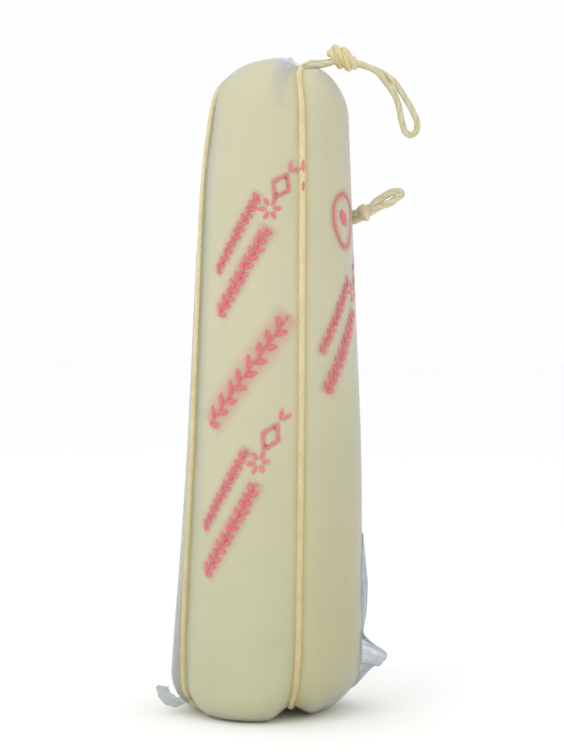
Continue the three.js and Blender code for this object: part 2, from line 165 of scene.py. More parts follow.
# Where the print lies: azimuth and height, and each block's size.
PRINT_BLOCKS = [
    (-21, 0.323, 1), (-24.5, 0.158, 1.06), (55.5, 0.264, 1), (146, 0.323, 1), (142, 0.158, 1.06),
    (233, 0.267, 1),
]
PRINT_BANDS = [(-17.5, 0.239), (150, 0.239)]
BADGES = [(60.5, 0.3345), (222, 0.345)]
STRING_DABS = [(0.3715, 0.0042), (0.3577, 0.0034)]  # height and half length, on the front string

# ---- small helpers


def smooth(x, low, high):
    t = np.clip((np.asarray(x, float) - low) / (high - low), 0, 1)
    return t * t * (3 - 2 * t)


def bell(x, width):
    return np.exp(-((np.asarray(x, float) / width) ** 2))


def lerp(a, b, t):
    return a + (b - a) * t


def soft_min(a, b, width):
    """The smaller of two, with a rounded step from one to the other."""
    t = np.clip(0.5 + 0.5 * (b - a) / width, 0, 1)
    return lerp(b, a, t) - width * t * (1 - t)


# ---- camera

CAMERA_PLACE = (0.0059, -1.25, 0.25)
CAMERA_LENS = 86.4
CAMERA_PITCH = math.radians(-0.88)
CAMERA_ROLL = math.radians(0.745)


def show(name, data):
    made = bpy.data.objects.new(name, data)
    bpy.context.scene.collection.objects.link(made)
    return made


def add_camera():
    data = bpy.data.cameras.new("camera")
    data.sensor_width = 36
    data.lens = CAMERA_LENS
    camera = show("camera", data)
    camera.location = CAMERA_PLACE
    camera.rotation_euler = (math.pi / 2 + CAMERA_PITCH, 0, 0)
    camera.rotation_euler.rotate_axis("Z", CAMERA_ROLL)
    bpy.context.scene.camera = camera


add_camera()

# ---- the cheese's surface


def lobe_value(azimuth, key):
    """One lobe property at any azimuth, eased from the middle of one lobe to the middle of the next."""
    centres = np.array(LOBES["azimuth"], float)
    values = np.array(LOBES[key], float)
    starts = np.mod(centres - centres[0], 360)
    turn = np.mod(azimuth - centres[0], 360)
    index = np.searchsorted(starts, turn, side="right") - 1
    after = (index + 1) % len(centres)
    ease = smooth((turn - starts[index]) / np.mod(starts[after] - starts[index], 360), 0, 1)
    return lerp(values[index], values[after], ease)


def shoulder_centre():
    """Where the shoulder's arc touches both the side line and the crown line."""
    reach = SIDE_RADIUS - SHOULDER_ROUND / math.cos(TAPER)
    drop = reach * math.tan(CROWN_SLOPE) + SHOULDER_ROUND / math.cos(CROWN_SLOPE)
    z = (HEIGHT - drop) / (1 - math.tan(TAPER) * math.tan(CROWN_SLOPE))
    return reach - z * math.tan(TAPER), z


def arc(centre, size, angle):
    radius = centre[0] + size * np.cos(angle)
    z = centre[1] + size * np.sin(angle)
    return np.stack(np.broadcast_arrays(radius, z, np.cos(angle), np.sin(angle)))


def profile(s, azimuth):
    """Radius, height and normal along the profile: s runs from the middle of the foot (0) to the
    middle of the crown (5), one unit for each of foot, foot rounding, side, shoulder, crown."""
    s, azimuth = np.broadcast_arrays(np.asarray(s, float), np.asarray(azimuth, float))
    foot_round = lobe_value(azimuth, "foot_round")
    foot = (SIDE_RADIUS - foot_round * (math.tan(TAPER) + 1 / math.cos(TAPER)), foot_round)
    shoulder = shoulder_centre()
    crown_angle = math.pi / 2 - CROWN_SLOPE
    flat = np.stack([foot[0] * s, 0 * s, 0 * s, 0 * s - 1])
    low = arc(foot, foot_round, np.full(s.shape, TAPER))
    high = arc(shoulder, SHOULDER_ROUND, np.full(s.shape, TAPER))
    side = lerp(low, high, s - 2)
    side[0] += SIDE_BULGE * np.sin(math.pi * (s - 2))
    edge = arc(shoulder, SHOULDER_ROUND, np.full(s.shape, crown_angle))
    crown = np.stack([edge[0] * (5 - s), lerp(edge[1], HEIGHT, s - 4), edge[2], edge[3]])
    foot_arc = arc(foot, foot_round, lerp(-math.pi / 2, TAPER, np.clip(s - 1, 0, 1)))
    shoulder_arc = arc(shoulder, SHOULDER_ROUND, lerp(TAPER, crown_angle, np.clip(s - 3, 0, 1)))
    return np.select([s <= 1, s <= 2, s <= 3, s <= 4], [flat, foot_arc, side, shoulder_arc], crown)


def lobed_profile(s, azimuth):
    """The profile with the unevenness of its lobe."""
    radius, z, out, up = profile(s, azimuth)
    at_foot = 1 - smooth(z, 0, HEIGHT * 0.45)
    at_waist = bell(z - HEIGHT * 0.4, HEIGHT * 0.22)
    swell = lobe_value(azimuth, "foot_swell") * at_foot + lobe_value(azimuth, "waist_swell") * at_waist
    swell = swell + lobe_value(azimuth, "shoulder_swell") * bell(z - SHOULDER_HEIGHT, 0.026)
    rise = lobe_value(azimuth, "rise") * smooth(z, HEIGHT * 0.8, HEIGHT)
    return radius * (1 + swell / SIDE_RADIUS), z + rise, out, up


def string_azimuth(name, s):
    foot, bow, crown = STRINGS[name]
    height = profile(s, STRINGS["front"][0])[1] / HEIGHT
    return lerp(foot, crown, height) + bow * np.sin(math.pi * height)


def valley_at(name, z):
    """Depth, reach and sunk of a string's valley at one height, and the broad pinch between lobes."""
    foot = 1 - smooth(z, 0, FOOT_FADE)
    crown = smooth(z, HEIGHT - CROWN_FADE, HEIGHT - 0.004)
    side = 1 - foot - crown
    deep_foot = {**FOOT_VALLEY, "depth": FOOT_VALLEY["depth"] * FOOT_SHARE[name]}
    mixed = {
        key: SIDE_VALLEY[key] * side + deep_foot[key] * foot + CROWN_VALLEY[key] * crown
        for key in SIDE_VALLEY
    }
    return mixed["depth"], mixed["reach"], mixed["sunk"] - PROUD[name] * (1 - crown), LOBE_DEPTH * side


def string_depth(name, point):
    """Depth of a string's middle below the lobes' surface."""
    radius, z, _, up = point
    depth, _, sunk, pinch = valley_at(name, z)
    plain = pinch + depth + sunk
    crossing = lerp(plain, CROSSING[name], bell(radius, CROSSING_SPREAD))
    return np.where(up > -0.99, plain, crossing)


def across_string(name, s, point, azimuth):
    """Distance to one side of a string, very large on the far side of the cheese, and degrees away."""
    turn = azimuth - string_azimuth(name, s)
    away = np.abs(np.mod(turn + 180, 360) - 180)
    across = np.where(away < 90, point[0] * np.sin(np.radians(away)), 1.0)
    return across, away


def lobes_inset(s, point, azimuth):
    """How far in the lobes' surface lies for the broad pinch and the valleys."""
    deepest = np.zeros(point[0].shape)
    for name in STRING_ORDER:
        depth, reach, _, pinch = valley_at(name, point[1])
        across, away = across_string(name, s, point, azimuth)
        broad = pinch * (1 - np.sin(np.radians(np.minimum(90, away * 2))))
        fade = 0.5 * (1 + np.cos(math.pi * np.minimum(1, across / reach)))
        deepest = np.maximum(deepest, np.where(away < 90, broad + depth * fade, 0))
    return deepest


FILM_CLEAR = 0.00016  # the film's middle stands this far off what it covers
CHEESE_UNDER = 0.00012  # how far the cheese lies under the skin over lobes and strings
FILLET = 0.0014
TENT_REACH = 0.012  # a string lifts the skin no further to the side than this
CHEESE_LEAVES = math.radians(72)  # how far round a string the whey stays on it
FILM_LEAVES = math.radians(55)  # and the film


def tent_inset(s, point, azimuth, leaves):
    """A skin drawn over the lobes and the strings: it stays on a string as far round as leaves says,
    then runs down to the lobes with a rounded foot."""
    inset = lobes_inset(s, point, azimuth)
    over = TWINE / 2
    edge = over * math.sin(leaves)
    for name in STRING_ORDER:
        across, _ = across_string(name, s, point, azimuth)
        on_string = over - np.sqrt(over**2 - np.minimum(across, edge) ** 2)
        slope = math.tan(leaves) * np.maximum(0, across - edge)
        tent = string_depth(name, point) - over + on_string + slope
        inset = np.where(across < TENT_REACH, soft_min(inset, tent, FILLET), inset)
    return inset


def hollow(dish, radius):
    return dish["depth"] * (1 - smooth(radius, dish["floor"], dish["edge"]))


def cheese_inset(s, point, azimuth):
    """The cheese's surface, with whey set in the fillets beside the strings, a groove for each
    string and a dimple at either end."""
    deepest = tent_inset(s, point, azimuth, CHEESE_LEAVES) + CHEESE_UNDER
    groove = TWINE / 2 + SNUG
    held = TWINE / 2 * math.sin(CHEESE_LEAVES)
    for name in STRING_ORDER:
        across, _ = across_string(name, s, point, azimuth)
        bite = np.sqrt(np.maximum(0, groove**2 - across**2))
        under = string_depth(name, point) + bite
        deepest = np.where(across < held, np.maximum(deepest, under), deepest)
    foot = hollow(FOOT_DIMPLE, point[0])
    crown = hollow(CROWN_DIMPLE, point[0])
    dimple = np.where(point[3] < -0.9, foot, np.where(point[3] > 0.9, crown, 0))
    return np.maximum(deepest, dimple)


def string_gap(s, point, azimuth):
    """Distance to the middle of the nearest string."""
    return np.min([across_string(name, s, point, azimuth)[0] for name in STRING_ORDER], axis=0)


def stain(s, point, azimuth):
    """How much darker and yellower the surface is made near a string: most in the fillets beside it."""
    return 1 - smooth(string_gap(s, point, azimuth), 0.0022, 0.0072)


def left_shade(s, point, azimuth):
    """How much painted shade greys the surface beside the left string, where the film draws over to it.
    """
    beside = 1 - smooth(across_string("left", s, point, azimuth)[0], 0.003, 0.019)
    return beside * lerp(0.4, 1, smooth(point[1], 0.05, 0.3))


def film_inset(s, point, azimuth):
    """The film lies on the lobes and the strings, and is gathered down round the crown knot."""
    inset = tent_inset(s, point, azimuth, FILM_LEAVES) - FILM_CLEAR
    gathered = hollow(CROWN_GATHER, point[0])
    return np.where(point[3] > 0.9, np.maximum(inset, gathered), inset)


def place(point, azimuth, depth):
    """A point on or under the surface. Near the ends it is drawn to where the strings meet."""
    radius, z, out, up = point
    low = z < HEIGHT / 2
    meeting = {key: np.where(low, FOOT_MEETING[key], CROWN_MEETING[key]) for key in FOOT_MEETING}
    draw = 1 - smooth(radius / meeting["reach"], 0, 1)
    inner = radius - depth * out
    x = inner * np.sin(np.radians(azimuth)) + meeting["x"] * draw
    y = -inner * np.cos(np.radians(azimuth)) + meeting["y"] * draw
    return np.stack([x, y, z - depth * up], axis=-1)


def surface_columns(s, across, spread):
    """Azimuths round one ring: at the given distances to both sides of each string, and so many more
    evenly spaced up to halfway between two strings."""
    radius = max(float(profile(s, STRINGS["front"][0])[0]), 1e-4)
    azimuths = []
    for i, name in enumerate(STRING_ORDER):
        here = float(string_azimuth(name, s))
        after = float(string_azimuth(STRING_ORDER[(i + 1) % 4], s))
        half = ((after - here) % 360) / 2
        steps = len(across) + spread
        near = [min(math.degrees(a / radius), half * j / steps) for j, a in enumerate(across)]
        far = [lerp(near[-1], half, k / (spread + 1)) for k in range(1, spread + 1)]
        side = near + far
        azimuths += [here + a for a in side] + [here + half] + [here + 2 * half - a for a in side[:0:-1]]
    return azimuths


def surface_rows(steps, across, spread, inset, relief):
    """Rings of points up the surface. relief gives how far out each point is moved, from its place.
    Returns the profile step, profile point and azimuth of each too."""
    azimuth = np.array([surface_columns(step, across, spread) for step in steps])
    s = np.broadcast_to(np.array(steps)[:, None], azimuth.shape)
    point = lobed_profile(s, azimuth)
    depth = inset(s, point, azimuth)
    depth = depth - relief(place(point, azimuth, depth))
    return place(point, azimuth, depth), (s, point, azimuth)


# ---- meshes and pieces


def new_object(name, vertices, faces):
    mesh = bpy.data.meshes.new(name)
    mesh.from_pydata([tuple(v) for v in vertices], [], faces)
    mesh.validate()
    mesh.shade_smooth()
    return show(name, mesh)


def ring_faces(rows, size, closed=True):
    faces = []
    for r in range(rows - 1):
        for c in range(size if closed else size - 1):
            a = r * size + c
            b = r * size + (c + 1) % size
            faces.append((a, b, b + size, a + size))
    return faces


def closed_rings(name, rows, start, end=None):
    """A surface through closed rings, with a point at its start, and at its end where one is given."""
    count, size, _ = rows.shape
    vertices = [*rows.reshape(-1, 3), start]
    faces = ring_faces(count, size)
    faces += [((c + 1) % size, c, len(vertices) - 1) for c in range(size)]
    if end is not None:
        vertices.append(end)
        last = (count - 1) * size
        faces += [(last + c, last + (c + 1) % size, len(vertices) - 1) for c in range(size)]
    return new_object(name, vertices, faces)


def mark_points(piece, name, values):
    """Store one number for each vertex of a piece."""
    attribute = piece.data.attributes.new(name, "FLOAT", "POINT")
    attribute.data.foreach_set("value", np.ravel(values).astype(float))


def join(name, parts):
    """Several mesh objects as one, keeping their attributes."""
    target = parts[0]
    with bpy.context.temp_override(active_object=target, selected_editable_objects=parts):
        bpy.ops.object.join()
    target.name = name
    target.data.name = name
    return target


def finish_piece(piece, material, replaces=()):
    piece.data.materials.clear()
    piece.data.materials.append(material)
    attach(piece, "root")
    for node_name in replaces:
        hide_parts(node_name)


# ---- node materials

WHITE = (1, 1, 1)


def node(tree, kind, inputs, **settings):
    """A shader node. Its inputs are other nodes' outputs or plain values, colours without alpha."""
    made = tree.nodes.new("ShaderNode" + kind)
    for key, value in settings.items():
        setattr(made, key, value)
    for key, value in inputs.items():
        socket = made.inputs[key]
        if isinstance(value, bpy.types.NodeSocket):
            tree.links.new(value, socket)
        else:
            socket.default_value = (*value, 1) if socket.type == "RGBA" else value
    return made


def mix(tree, factor, a, b, blend_type="MIX"):
    inputs = {0: factor, 6: a, 7: b}
    return node(tree, "Mix", inputs, data_type="RGBA", blend_type=blend_type).outputs[2]


def maths(tree, operation, values, clamp=False):
    return node(tree, "Math", dict(enumerate(values)), operation=operation, use_clamp=clamp).outputs[0]


def times(tree, *values, clamp=False):
    """The product of the first two values, with the third added where there is one."""
    return maths(tree, "MULTIPLY_ADD" if len(values) > 2 else "MULTIPLY", values, clamp)


def ramp(tree, factor, *stops):
    """A grey ramp's output; each stop is (place, grey)."""
    made = node(tree, "ValToRGB", {"Fac": factor})
    elements = made.color_ramp.elements
    for element, (position, grey) in zip(elements, stops):
        element.position = position
        element.color = (grey, grey, grey, 1)
    return made.outputs["Color"]


def noise_share(tree, vector, scale, detail, roughness):
    inputs = {"Vector": vector, "Scale": scale, "Detail": detail, "Roughness": roughness}
    return node(tree, "TexNoise", inputs).outputs["Fac"]


def bump(tree, height, strength, distance):
    inputs = {"Height": height, "Strength": strength, "Distance": distance}
    return node(tree, "Bump", inputs).outputs["Normal"]


def object_place(tree):
    return node(tree, "TexCoord", {}).outputs["Object"]


def one_axis(tree, vector, axis):
    return node(tree, "SeparateXYZ", {"Vector": vector}).outputs[axis]


def stretch(tree, vector, scale):
    return node(tree, "Mapping", {"Vector": vector, "Scale": scale}).outputs[0]


def edge_on(tree, blend, power):
    """0 where the surface faces the eye and 1 where it is seen edge on."""
    facing = node(tree, "LayerWeight", {"Blend": blend}).outputs["Facing"]
    return maths(tree, "POWER", (facing, power))


def marked(tree, name):
    """What mark_points has stored under a name."""
    return node(tree, "Attribute", {}, attribute_name=name).outputs["Fac"]


def rising(tree, value, start, end):
    """It rises from 0 to 1 as the value goes from start to end."""
    return node(tree, "MapRange", {"Value": value, "From Min": start, "From Max": end}).outputs["Result"]


def coat(tree, colour, roughness, shine, more=None):
    """A plain surface; more holds any further inputs."""
    inputs = {"Base Color": colour, "Roughness": roughness, "Specular IOR Level": shine}
    return node(tree, "BsdfPrincipled", {**inputs, **(more or {})})


def new_material(name):
    material = bpy.data.materials.new(name)
    material.use_nodes = True
    material.node_tree.nodes.clear()
    return material, material.node_tree


def output(tree, surface):
    node(tree, "OutputMaterial", {"Surface": surface.outputs[0]})


def sheer_output(tree, share, surface, tint=WHITE):
    """The surface for its share, and for the rest what is behind, tinted."""
    clear = node(tree, "BsdfTransparent", {"Color": tint})
    output(tree, node(tree, "MixShader", {0: share, 1: clear.outputs[0], 2: surface.outputs[0]}))


CHEESE_HIGH = (0.648, 0.612, 0.424)
# Foot colour: darker and greener, partly painted shade.
CHEESE_LOW_TONE_AND_SHADE = (0.538, 0.545, 0.334)
# Painted shade for the lower right, the side away from the key light.
CHEESE_LOW_RIGHT_SHADE = (0.53, 0.49, 0.28)
# Painted shade beside the left string.
CHEESE_LEFT_STRING_SHADE = (0.74, 0.8, 0.81)
# Darker and yellower beside the strings.
CHEESE_FILLET_TINT = (0.94, 0.88, 0.71)
PATCH = (0.965, 0.985, 0.96)
FILM_GREY = (0.42, 0.44, 0.48)
INK_DEEP = (0.8, 0.14, 0.19)
INK_LIGHT = (0.84, 0.26, 0.3)


def cheese_material():
    """Ivory paste: faint large patches, a slight grain, a waxy glow, darker and greener towards the
    foot, partly as painted shade, with painted shade low on the right and beside the left string, and
    darker and yellower beside the strings."""
    material, tree = new_material("cheese")
    place_ = object_place(tree)
    patches = noise_share(tree, place_, 14, 3, 0.55)
    grain = noise_share(tree, place_, 420, 4, 0.6)
    low = rising(tree, one_axis(tree, place_, "Z"), 0.24, -0.02)
    right = rising(tree, one_axis(tree, place_, "X"), 0.0, 0.05)
    # Darker and greener towards the foot: the darkening is partly painted shade, for light that falls
    # from above.
    colour = mix(tree, low, CHEESE_HIGH, CHEESE_LOW_TONE_AND_SHADE)
    # Painted shade on the lower right, away from the key light: darker low down on the +X side.
    colour = mix(tree, times(tree, low, right), colour, CHEESE_LOW_RIGHT_SHADE)
    # Painted shade beside the left string, stronger high up.
    colour = mix(tree, marked(tree, "shade"), colour, CHEESE_LEFT_STRING_SHADE, "MULTIPLY")
    blend = ramp(tree, patches, (0.35, 0), (0.65, 1))
    patched = mix(tree, blend, WHITE, PATCH)
    colour = mix(tree, 1.0, colour, patched, "MULTIPLY")
    colour = mix(tree, 1.0, colour, ramp(tree, grain, (0.3, 0.97), (0.7, 1)), "MULTIPLY")
    # Darker and yellower beside the strings, most in the fillets.
    colour = mix(tree, marked(tree, "stain"), colour, CHEESE_FILLET_TINT, "MULTIPLY")
    relief = bump(tree, grain, 0.12, 0.0004)
    glow = {"Subsurface Weight": 0.2, "Subsurface Radius": (1, 0.8, 0.45), "Subsurface Scale": 0.005}
    output(tree, coat(tree, colour, 0.55, 0.15, {"Normal": relief, **glow}))
    return material


# Looks of the twine: its pale and its warm fibres, and the painted shade between its strands.
HELD_TWINE = (0.76, 0.68, 0.43), (0.7, 0.57, 0.31), (0.6, 0.47, 0.23)
FREE_TWINE = (0.655, 0.63, 0.46), (0.575, 0.51, 0.3), (0.34, 0.25, 0.12)
KNOT_TWINE = (0.73, 0.65, 0.38), (0.63, 0.51, 0.25), (0.36, 0.26, 0.11)
SIDE_KNOT_TWINE = (0.74, 0.62, 0.45), (0.62, 0.49, 0.32), (0.38, 0.27, 0.14)
# Twine darker and browner towards the foot.
TWINE_FOOT_DARKENING = (0.82, 0.8, 0.7)


def twine_material(name, look, fibre):
    """Laid fibres that run along each strand, with painted shade in the creases between strands."""
    pale, warm, crease_shade = look
    material, tree = new_material(name)
    lay = node(tree, "Attribute", {}, attribute_name="lay").outputs["Vector"]
    near_middle = one_axis(tree, lay, "Z")
    fibres = noise_share(tree, stretch(tree, lay, (150, 1500, 0)), 1.0, 4, 0.6)
    place_ = object_place(tree)
    blotches = noise_share(tree, place_, 90, 2, 0.5)
    tone = times(tree, fibres, 0.55, times(tree, blotches, 0.5))
    warmth = ramp(tree, tone, (0.42, 0), (0.66, 1))
    colour = mix(tree, warmth, pale, warm)
    # Painted shade in the creases between the strands.
    shade = times(tree, ramp(tree, near_middle, (0, 1), (0.3, 0)), fibres)
    colour = mix(tree, shade, colour, crease_shade)
    # Darker and browner towards the foot.
    low = rising(tree, one_axis(tree, place_, "Z"), 0.27, 0.03)
    colour = mix(tree, low, colour, TWINE_FOOT_DARKENING, "MULTIPLY")
    relief = bump(tree, fibres, fibre, 0.0005)
    glow = {"Sheen Weight": 0.15, "Subsurface Weight": 0.1, "Subsurface Scale": 0.002}
    output(tree, coat(tree, colour, 0.8, 0.25, {"Normal": relief, **glow}))
    return material


def film_material():
    """Clear film drawn tight: nearly see-through, greyer where it is seen edge on, but not over a
    string. The attribute apart is 0 on a string and 1 away from it."""
    material, tree = new_material("film")
    haze = noise_share(tree, object_place(tree), 30, 3, 0.5)
    milk = times(tree, ramp(tree, haze, (0.4, 0), (0.7, 1)), 0.03, 0.03)
    rim = times(tree, edge_on(tree, 0.5, 2.4), marked(tree, "apart"))
    share = times(tree, rim, 0.66, milk, clamp=True)
    sheer_output(tree, share, coat(tree, FILM_GREY, 0.32, 0.25))
    return material


# Looks of the loose folds: tint, pale, milk, streak and rim of fold_material.
EAR_LOOK = (0.93, 0.945, 0.96), (0.24, 0.28, 0.33), 0.05, 0.08, 1.4
TAIL_LOOK = (0.76, 0.79, 0.79), (0.51, 0.53, 0.54), 0.16, 0.2, 0.2
# The web's grey tint is partly painted shade on the back-left lobe.
WEB_TINT_AND_SHADE_LOOK = (0.84, 0.85, 0.93), (0.5, 0.51, 0.52), 0.26, 0.08, 0.2
# The crown fold's pale milk is partly a painted highlight, the film's gloss.
CROWN_FOLD_GLOSS_LOOK = (0.95, 0.96, 1.0), (0.62, 0.65, 0.73), 0.5, 0.06, 0.2


def fold_material(name, tint, pale, milk, streak, rim):
    """Loose film in folds. Each ply tints what is behind it, and is itself pale: everywhere by milk,
    in its creases by streak, and where it is seen edge on by rim. The attribute loose is 0 where the
    film joins the tight film and 1 where it is free."""
    material, tree = new_material(name)
    loose = marked(tree, "loose")
    creases = noise_share(tree, stretch(tree, object_place(tree), (0.5, 1, 1.3)), 80, 2, 0.5)
    white = times(tree, ramp(tree, creases, (0.46, 0), (0.62, 1)), streak, milk)
    share = times(tree, edge_on(tree, 0.4, 1.5), rim, white, clamp=True)
    share = times(tree, share, loose)
    relief = bump(tree, creases, 1.3 * streak, 0.001)
    ply = coat(tree, pale, 0.25, 0.5, {"Normal": relief})
    sheer_output(tree, share, ply, mix(tree, loose, WHITE, tint))
    return material


def print_material():
    """Ink with a soft edge, a little worn. The attribute ink is 0 at a mark's edge and 1 in it."""
    material, tree = new_material("print")
    wear = noise_share(tree, object_place(tree), 500, 3, 0.6)
    colour = mix(tree, ramp(tree, wear, (0.35, 0), (0.7, 1)), INK_DEEP, INK_LIGHT)
    strength = ramp(tree, wear, (0.25, 0.95), (0.8, 0.62))
    cover = times(tree, marked(tree, "ink"), strength, clamp=True)
    sheer_output(tree, cover, coat(tree, colour, 0.4, 0.3))
    return material


# ---- cheese and film

# Distances from each string at which the columns of the two meshes lie, and the number of their
# rows on each stretch of the profile.
CHEESE_ACROSS = [
    0, 0.001, 0.0017, 0.00205, 0.00212, 0.0023, 0.0026, 0.003, 0.0035, 0.0041, 0.0049, 0.006, 0.0078,
    0.0105, 0.014, 0.018,
]
FILM_ACROSS = [
    0, 0.0005, 0.001, 0.0014, 0.0018, 0.0022, 0.0026, 0.003, 0.0034, 0.0039, 0.0045, 0.0053, 0.0063,
    0.0076, 0.0095, 0.012, 0.015, 0.0185,
]
CHEESE_ROWS = [22, 26, 90, 34, 14]
FILM_ROWS = [26, 34, 110, 40, 26]


def profile_steps(counts, first, last):
    """Steps along the profile, with a count for each of its five stretches."""
    steps = [stretch + (i + 0.5) / count for stretch, count in enumerate(counts) for i in range(count)]
    return [s for s in steps if first <= s <= last]


def cheese_relief(places):
    """Slight dents and swellings."""
    def height(p):
        return 0.00035 * noise.noise(Vector(p) * 24) + 0.00012 * noise.noise(Vector(p) * 70)
    return np.apply_along_axis(height, -1, places) - 0.0003


def add_cheese():
    steps = profile_steps(CHEESE_ROWS, 0.05, 4.9)
    rows, where = surface_rows(steps, CHEESE_ACROSS, 6, cheese_inset, cheese_relief)
    rows[..., 2] = np.maximum(rows[..., 2], 0.0002)
    start = (FOOT_MEETING["x"], FOOT_MEETING["y"], FOOT_DIMPLE["depth"])
    end = (CROWN_MEETING["x"], CROWN_MEETING["y"], HEIGHT - CROWN_DIMPLE["depth"])
    piece = closed_rings("cheese", rows, start, end)
    mark_points(piece, "stain", [*stain(*where).ravel(), 0, 0])
    mark_points(piece, "shade", [*left_shade(*where).ravel(), 0, 0])
    finish_piece(piece, cheese_material(), ["wrapped_cheese"])


def film_relief(places):
    """Pleats where the film is gathered at both ends, none on the drum-tight side."""
    def height(p):
        x, y, z = p
        middle = CROWN_MEETING if z > HEIGHT / 2 else FOOT_MEETING
        from_middle = math.hypot(x - middle["x"], y - middle["y"])
        turn = math.atan2(y - middle["y"], x - middle["x"])
        pleat = noise.noise(Vector((math.cos(turn) * 7, math.sin(turn) * 7, from_middle * 25)))
        at_end = 1 if z > HEIGHT - 0.02 or z < 0.012 else 0
        return at_end * max(0.0, pleat) * 0.0011 * float(bell(from_middle, 0.022))
    return np.apply_along_axis(height, -1, places)


def add_film(material):
    steps = profile_steps(FILM_ROWS, 0.02, 4.86)
    rows, where = surface_rows(steps, FILM_ACROSS, 7, film_inset, film_relief)
    rows[..., 2] = np.maximum(rows[..., 2], 0.00005)
    start = (FOOT_MEETING["x"], FOOT_MEETING["y"], float(rows[0, :, 2].min()))
    piece = closed_rings("film", rows, start)
    mark_points(piece, "apart", [*smooth(string_gap(*where), 0.003, 0.008).ravel(), 0])
    finish_piece(piece, material)


# ---- loose folds of the film


def between(points, count):
    """Rows of values evenly spaced along a smooth curve through the given rows."""
    points = np.array(points, float)
    padded = np.vstack([2 * points[0] - points[1], points, 2 * points[-1] - points[-2]])
    places = np.linspace(0, len(points) - 1 - 1e-9, count)
    index = places.astype(int)
    t = (places - index)[:, None]
    a, b, c, d = (padded[index + k] for k in range(4))
    square = 2 * a - 5 * b + 4 * c - d
    cubic = 3 * b - a - 3 * c + d
    return 0.5 * (2 * b + (c - a) * t + square * t**2 + cubic * t**3)


def around_axis(reach, azimuth, z):
    turn = np.radians(azimuth)
    return np.stack([reach * np.sin(turn), -reach * np.cos(turn), z], axis=-1)


def side_point(azimuth, z, lift):
    """The point of the film at an azimuth and height, on the side or the foot's rounding."""
    azimuth, z = np.broadcast_arrays(np.asarray(azimuth, float), np.asarray(z, float))
    steps = np.linspace(1.02, 3.5, 400)
    heights = profile(steps, STRINGS["front"][0])[1]
    s = np.interp(z, heights, steps)
    point = lobed_profile(s, azimuth)
    return place(point, azimuth, film_inset(s, point, azimuth) - lift)


def grid(name, rows):
    """An open surface through rows of points."""
    count, size, _ = rows.shape
    return new_object(name, rows.reshape(-1, 3), ring_faces(count, size, closed=False))


def ruffle(u, v, seed):
    return np.array([[noise.noise(Vector((a * 9, b * 1.4, seed))) for b in v] for a in u])


def held_outside(rows, clearance):
    """Move points out, level, to at least a clearance off the tight film. Returns how far off it they
    are too."""
    azimuth = np.degrees(np.arctan2(rows[..., 0], -rows[..., 1]))
    surface = side_point(azimuth, rows[..., 2], 0)
    reach = np.hypot(rows[..., 0], rows[..., 1])
    tight = np.hypot(surface[..., 0], surface[..., 1])
    moved = np.maximum(reach, tight + clearance)
    rows = rows.copy()
    rows[..., :2] *= (moved / reach)[..., None]
    return rows, moved - tight


def add_right_ear(material):
    """Two plies leave the body on both sides of the ear and meet in its edge."""
    edge = between(RIGHT_EAR, 110)
    u = np.linspace(0, 1, 110)
    v = np.linspace(0, 1, 60)
    outer = around_axis(edge[:, 0], RIGHT_EAR_AZIMUTH, edge[:, 1])
    spread = lerp(*RIGHT_EAR_SPREAD, smooth(edge[:, 2], 0.012, 0.05))
    free = smooth(edge[:, 0], 0.062, 0.078)[:, None] * 0.0026 + 0.0006
    shared = ruffle(u * 1.7, v, 4.2) * free * v**1.5
    parts = []
    for side in (-1, 1):
        inner = side_point(RIGHT_EAR_AZIMUTH + side * spread, edge[:, 2], 0.0002)
        rows = lerp(inner[:, None, :], outer[:, None, :], v[None, :, None])
        ply_ruffle = ruffle(u * 2.6, v * 2, side * 3.3) * 0.0016
        puff = np.sin(math.pi * v) * 0.0012 + ply_ruffle * np.sin(math.pi * v)
        rows[..., 1] += shared + side * puff
        rows, gap = held_outside(rows, 0.00025)
        ply = grid("film_right_ear", rows)
        mark_points(ply, "loose", smooth(gap, 0.0003, 0.0012) * smooth(edge[:, 2], 0.003, 0.02)[:, None])
        parts.append(ply)
    piece = join("film_right_ear", parts)
    piece.visible_shadow = False  # clear film casts next to none
    finish_piece(piece, material)


def add_left_tail(material):
    """A narrow pleated tail that turns up and ends in a ragged cut."""
    middle = between(LEFT_TAIL, 70)
    u = np.linspace(0, 1, 70)
    v = np.linspace(-1, 1, 22)
    line = middle[:, :3]
    along = np.gradient(line, axis=0)
    along /= np.linalg.norm(along, axis=1)[:, None]
    face = np.array([0, 1.0, 0])
    across = np.cross(along, face)
    across /= np.linalg.norm(across, axis=1)[:, None]
    ragged = 1 + 0.22 * ruffle(u * 0.9, [0.3, 2.1], 6.1)
    half = middle[:, 3][:, None] * np.where(v < 0, ragged[:, :1], ragged[:, 1:])
    parts = []
    for number in (0, 1):
        rows = line[:, None, :] + across[:, None, :] * (half * v)[..., None]
        fold = np.sin(v * 7 + 3 * u[:, None] + number * 1.3) * 0.0009
        fold = fold + ruffle(u * 2, v * 2.4, 8.0 + number) * 0.0022 + (number - 0.5) * 0.0009
        rows += face * fold[..., None]
        cut = ruffle([0.5], v * 5, 2.0 + number)[0] * 0.0012
        rows += along[:, None, :] * (cut[None, :] * smooth(u, 0.8, 1)[:, None])[..., None]
        ply = grid("film_left_tail", rows)
        mark_points(ply, "loose", np.broadcast_to(smooth(u, 0.04, 0.42)[:, None], rows.shape[:2]))
        parts.append(ply)
    piece = join("film_left_tail", parts)
    finish_piece(piece, material)


